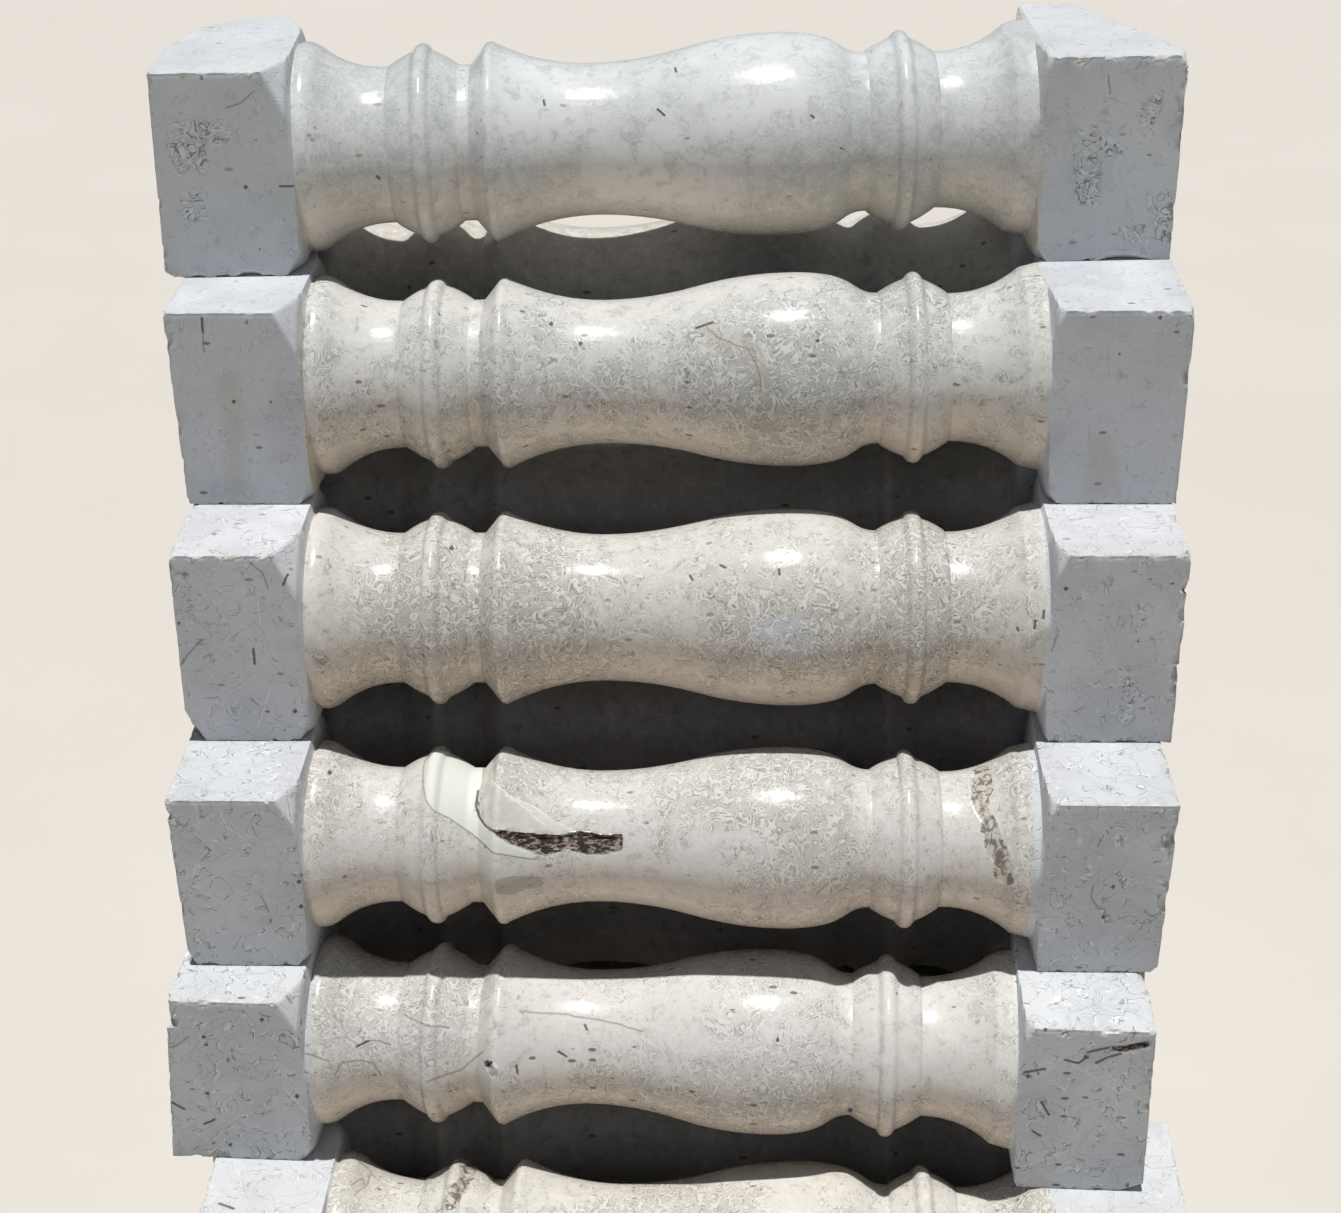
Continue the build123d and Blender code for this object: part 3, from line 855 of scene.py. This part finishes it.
def polished_stone(stone, kinds):
    """Turned stone: clouds of greyer stone, a fine mottle, shell fragments and pits."""
    look, mottle, curl = stone.look, stone.mottle, stone.curl
    colour = stone.lay(look.polished, look.clouded, stone.ramp(stone.patches, 0.35, 0.75), look.clouds)
    if "pale" in kinds:
        colour = stone.lay(colour, PALE_PATCH, stone.area("pale", 0.012, 0.004), 0.6)
    colour = stone.mix(stone.ramp(mottle, 0.5, 0.66, out_high=0.45), colour, shade(look.clouded, 0.85))
    colour = stone.mix(stone.ramp(mottle, 0.48, 0.34, out_high=0.35), colour, WHITE_MOTTLE)
    # Shell fragments: short curved whitish threads with dark edges, crowded in some places
    crowd = stone.math("MULTIPLY_ADD", stone.math("SUBTRACT", mottle, 0.5), 1.2, stone.patches)
    crowd = stone.times(stone.ramp(crowd, 0.3, 0.62, out_low=0.2), look.shells)
    colour = stone.lay(colour, SHELL, stone.times(stone.band(curl, 0.5, 0.05), crowd), 0.6)
    edges = stone.math("MAXIMUM", stone.band(curl, 0.57, 0.03), stone.band(curl, 0.40, 0.02))
    colour = stone.lay(colour, shade(look.clouded, 0.5), stone.times(edges, crowd), 0.75)
    colour = stone.lay(colour, PIT, stone.pits, look.pits)
    # Faces that look down are tinted warm: painted bounce light from below
    return stone.toned(colour, PAINTED_BOUNCE_TINT, stone.attribute("under"))


def sawn_stone(stone):
    """Sawn faces: stone dust in clouds, with long curved sunk grooves darkened by painted shade and with a
    painted highlight along one edge.
    """
    look, sawn = stone.look, stone.look.sawn
    colour = stone.mix(stone.ramp(stone.patches, 0.3, 0.8, out_high=0.6), sawn, shade(sawn, 0.84))
    colour = stone.mix(stone.ramp(stone.cloudy, 0.42, 0.66, out_high=0.7), colour, shade(sawn, 0.80))
    colour = stone.mix(stone.ramp(stone.mottle, 0.54, 0.7, out_high=0.45), colour, shade(sawn, 0.72))
    few = stone.times(stone.ramp(stone.mottle, 0.47, 0.56), look.gouges)
    # The grooves get a painted highlight on one edge and painted shade inside
    colour = stone.lay(colour, PAINTED_GROOVE_HIGHLIGHT, stone.times(stone.band(stone.grooves, 0.5, 0.024), few), 0.6)
    colour = stone.lay(colour, shade(sawn, 0.4), stone.times(stone.groove, few), 0.8)
    return stone.lay(colour, SAWN_PIT, stone.pits, look.pits)


def stone_height(stone):
    """Fine grain, coarser where the stone is broken, with the grooves of the sawn faces sunk into it."""
    height = stone.times(stone.grain, stone.math("MULTIPLY_ADD", stone.broken, 1.5, 0.06))
    sunk = stone.times(stone.math("SUBTRACT", 1.0, stone.turned), stone.groove)
    return stone.math("SUBTRACT", height, stone.times(sunk, 0.5 * stone.look.gouges))


def draw_relief(stone):
    """Ridges like worms, light on one side and in shadow on the other."""
    where = stone.area("relief", 0.006, 0.002, ragged=stone.patches)
    ridges = stone.times(stone.band(stone.curl, 0.5, 0.08), where)
    shadow = stone.times(stone.band(stone.curl, 0.585, 0.04), where)
    stone.cover(shade(stone.look.sawn, 1.2), ridges, 0.5)
    stone.cover(shade(stone.look.sawn, 0.36), shadow, 0.9)
    stone.height = stone.math("ADD", stone.height, stone.times(ridges, 1.3))


def draw_stain(stone):
    stone.cover(STAIN, stone.area("stain", 0.0016), 0.6)


def draw_tint(stone):
    stone.cover(TINT, stone.area("tint", 0.02, 0.005), 0.35)


def draw_pit(stone):
    pit = stone.ramp(stone.attribute("pit"), *PIT_RADIUS)
    stone.cover(HOLE, pit, 0.9)
    stone.height = stone.math("SUBTRACT", stone.height, pit)


def draw_vein(stone):
    """A vein of dark and pale flakes, a little lower than the stone."""
    flakes = stone.noise(stone.stretched((1.0, 1.0, 0.5)), 190.0, 3.0, 0.7, distortion=0.8)
    colour = stone.mix(stone.ramp(flakes, 0.42, 0.58), *VEIN)
    stone.cover(colour, stone.area("vein", 0.014), 0.85)
    sunk = stone.times(stone.area("vein", 0.0, 0.001), stone.grain)
    stone.height = stone.math("SUBTRACT", stone.height, sunk)


def draw_repair(stone):
    """Pale filler with a dark rim, over a place that was smoothed with a trowel."""
    smooth = stone.area("smooth", 0.001)
    trowel = stone.noise(stone.stretched((0.35, 1.0, 1.6)), 70.0, 2.0)
    stone.cover(stone.mix(stone.ramp(trowel, 0.4, 0.6), *SMOOTHED), smooth, 0.8)
    filler = stone.area("filler", 0.0012)
    rim = stone.band(stone.edge("filler", 0.0012), 0.0, 0.0009)
    stone.cover(stone.mix(stone.ramp(stone.patches, 0.3, 0.7), *FILLER), filler, 1.0)
    stone.cover(FILLER_RIM, rim, 0.55)
    stone.height = stone.math("ADD", stone.height, stone.times(stone.area("filler", 0.0), 0.5))
    dull = stone.times(stone.math("MAXIMUM", smooth, filler), 0.6)
    stone.rough = stone.math("MAXIMUM", stone.rough, dull)


def draw_break(stone):
    """A place where the stone has broken out: dark, coarse and crumbly."""
    hollow = stone.area("rough", 0.005)
    chaff = stone.noise(stone.stretched((0.5, 1.0, 1.4)), 300.0, 2.0, 0.7)
    stone.cover(stone.mix(stone.ramp(chaff, 0.46, 0.62), *CRUMBS), hollow, 1.0)
    coarse = stone.times(stone.area("rough", 0.0, 0.001), stone.times(stone.grain, 3.0))
    stone.height = stone.math("ADD", stone.height, coarse)
    stone.rough = stone.math("MAXIMUM", stone.rough, stone.times(hollow, 0.8))


def draw_crystal(stone):
    """Clear crystals beside a broken place."""
    clear = stone.area("crystal", 0.001)
    clear = stone.math("SUBTRACT", clear, stone.times(clear, stone.area("rough", 0.005)))
    stone.cover(stone.mix(stone.ramp(stone.mottle, 0.4, 0.6), *CRYSTAL), clear, 1.0)


def draw_thread(stone):
    stone.cover(THREAD, stone.stroke("thread", 0.0012, 0.0008), 0.55)


def draw_crack(stone):
    stone.cover(CRACK, stone.stroke("crack", 0.003, 0.001), 0.65)


# Thin dark lines, sunk a little: dark cracks and dashes in the stone, and on course_3 a painted shadow under
# the filler's edge
def draw_line(stone):
    stone.cover(LINE, stone.stroke("line", 0.0016, 0.0012), 0.85)
    stone.height = stone.math("SUBTRACT", stone.height, stone.stroke("line", 0.0, 0.0012))


# What draws each kind of mark, in the order in which they lie over each other
DRAWN = {
    "relief": draw_relief,
    "stain": draw_stain,
    "tint": draw_tint,
    "pit": draw_pit,
    "vein": draw_vein,
    "filler": draw_repair,
    "rough": draw_break,
    "crystal": draw_crystal,
    "thread": draw_thread,
    "crack": draw_crack,
    "line": draw_line,
}


def limestone(name, seed, look, kinds):
    """Shelly limestone: polished where turned, dusty where sawn, rough where broken, with its marks."""
    stone = Stone(name, seed, look, mottle_scale=85.0, mottle_roughness=0.62, pit_scale=150.0)
    stone.curl = stone.noise(stone.place, 92.0, 1.5, distortion=2.0)
    stone.grooves = stone.noise(stone.place, 62.0, 2.0, distortion=1.2)
    stone.groove = stone.band(stone.grooves, 0.537, 0.02)
    stone.colour = stone.mix(stone.turned, sawn_stone(stone), polished_stone(stone, kinds))
    stone.cover(stone.mix(stone.ramp(stone.mottle, 0.4, 0.6), *CRUMBLY), stone.broken, 0.75)
    stone.rough = stone.gloss(0.13, 0.36)
    stone.height = stone_height(stone)
    for kind, draw in DRAWN.items():
        if kind in kinds:
            draw(stone)
    return stone.finish(bump_strength=0.7)


def rear_limestone(name, seed, look):
    """The same stone with less detail, for the rows behind."""
    stone = Stone(name, seed, look, mottle_scale=110.0, mottle_roughness=0.7, pit_scale=130.0)
    patches, mottle, sawn = stone.patches, stone.mottle, look.sawn
    turned = stone.lay(look.polished, look.clouded, stone.ramp(patches, 0.35, 0.75), look.clouds)
    turned = stone.mix(stone.ramp(mottle, 0.5, 0.66, out_high=0.6), turned, shade(look.clouded, 0.78))
    turned = stone.mix(stone.ramp(mottle, 0.5, 0.36, out_high=0.5), turned, REAR_WHITE_MOTTLE)
    dust = stone.mix(stone.ramp(patches, 0.3, 0.8, out_high=0.8), sawn, shade(sawn, 0.83))
    dust = stone.mix(stone.ramp(mottle, 0.45, 0.7, out_high=0.4), dust, shade(sawn, 0.75))
    dust = stone.mix(stone.ramp(stone.cloudy, 0.42, 0.66, out_high=0.6), dust, shade(sawn, 0.8))
    stone.colour = stone.mix(stone.turned, dust, turned)
    stone.cover(REAR_PIT, stone.pits, look.pits)
    stone.cover(REAR_BROKEN, stone.broken, 0.6)
    stone.rough = stone.gloss(0.16, 0.38)
    return stone.finish(bump_strength=0.12)


def make_finishes():
    """One material for each front baluster, and the materials of the rows behind."""
    front = {}
    for number, (node, look) in enumerate(LOOKS.items()):
        front[node] = limestone("limestone_" + node.split("_")[1], number + 1, look, MARKS[node])
    rear = []
    for number, look in enumerate(REAR_LOOKS):
        rear.append(rear_limestone("limestone_rear_" + "abc"[number], number + 7, look))
    return front, rear


FINISHES, REAR_FINISHES = make_finishes()


def dress(node, seed):
    """Replaces a CAD baluster by its worn stone surface."""
    bar = Bar(node)
    front = node in FINISHES
    per_side = FRONT_COLUMNS if front else REAR_COLUMNS
    spacing = 1.0 if front else REAR_SPACING
    s, a, reach, fields = stone_surface(bar, node, seed, per_side, spacing)
    piece = build_mesh(node + "_stone", bar, seed, s, a, reach, fields)
    piece.data.materials.append(FINISHES[node] if front else REAR_FINISHES[seed % len(REAR_FINISHES)])
    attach(piece, "root")
    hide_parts(node)


def add_camera():
    """The photograph's camera."""
    right, upward, forward = camera_axes()
    turn = Matrix((right, upward, -forward)).transposed().to_4x4()
    data = bpy.data.cameras.new("camera")
    data.sensor_width = SENSOR_WIDTH
    data.lens = SENSOR_WIDTH * PHOTO_FOCAL / PHOTO_WIDTH
    camera = bpy.data.objects.new("camera", data)
    camera.matrix_world = Matrix.Translation(CAMERA_PLACE) @ turn
    bpy.context.scene.collection.objects.link(camera)
    bpy.context.scene.camera = camera


def add_stage():
    """A plain pale floor."""
    mesh = bpy.data.meshes.new("floor")
    corners = [(x, y, 0) for x, y in ((-1, -1), (1, -1), (1, 1), (-1, 1))]
    mesh.from_pydata([(FLOOR_HALF * x, FLOOR_HALF * y, z) for x, y, z in corners], [], [(0, 1, 2, 3)])
    floor = bpy.data.objects.new("floor", mesh)
    bpy.context.scene.collection.objects.link(floor)
    n = Nodes("floor_finish")
    grain = n.noise(n.add("ShaderNodeTexCoord").outputs["Object"], 3.0, 3.0)
    n.feed(n.shader.inputs["Base Color"], n.mix(grain, *FLOOR_COLOURS))
    n.shader.inputs["Roughness"].default_value = 0.9
    floor.data.materials.append(n.material)


def add_light():
    """A soft sun almost overhead and a bluish sky, before a pale backdrop."""
    scene = bpy.context.scene
    sun_data = bpy.data.lights.new("key", "SUN")
    sun_data.energy = SUN_ENERGY
    sun_data.angle = SUN_SIZE
    sun_data.color = SUN_COLOUR
    sun = bpy.data.objects.new("key", sun_data)
    sun.rotation_euler = (SUN_TILT, 0.0, 0.0)
    scene.collection.objects.link(sun)
    world = bpy.data.worlds.new("studio")
    world.use_nodes = True
    tree = world.node_tree
    sky = tree.nodes["Background"]
    sky.inputs["Color"].default_value = SKY_COLOUR
    sky.inputs["Strength"].default_value = SKY_STRENGTH
    backdrop = tree.nodes.new("ShaderNodeBackground")
    backdrop.inputs["Color"].default_value = BACKDROP
    seen = tree.nodes.new("ShaderNodeLightPath")
    mix = tree.nodes.new("ShaderNodeMixShader")
    tree.links.new(seen.outputs["Is Camera Ray"], mix.inputs[0])
    tree.links.new(sky.outputs[0], mix.inputs[1])
    tree.links.new(backdrop.outputs[0], mix.inputs[2])
    tree.links.new(mix.outputs[0], tree.nodes["World Output"].inputs[0])
    scene.world = world
    scene.view_settings.view_transform = "Standard"


for number, node in enumerate(sorted(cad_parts)):
    dress(node, number + 1)
add_camera()
add_stage()
add_light()
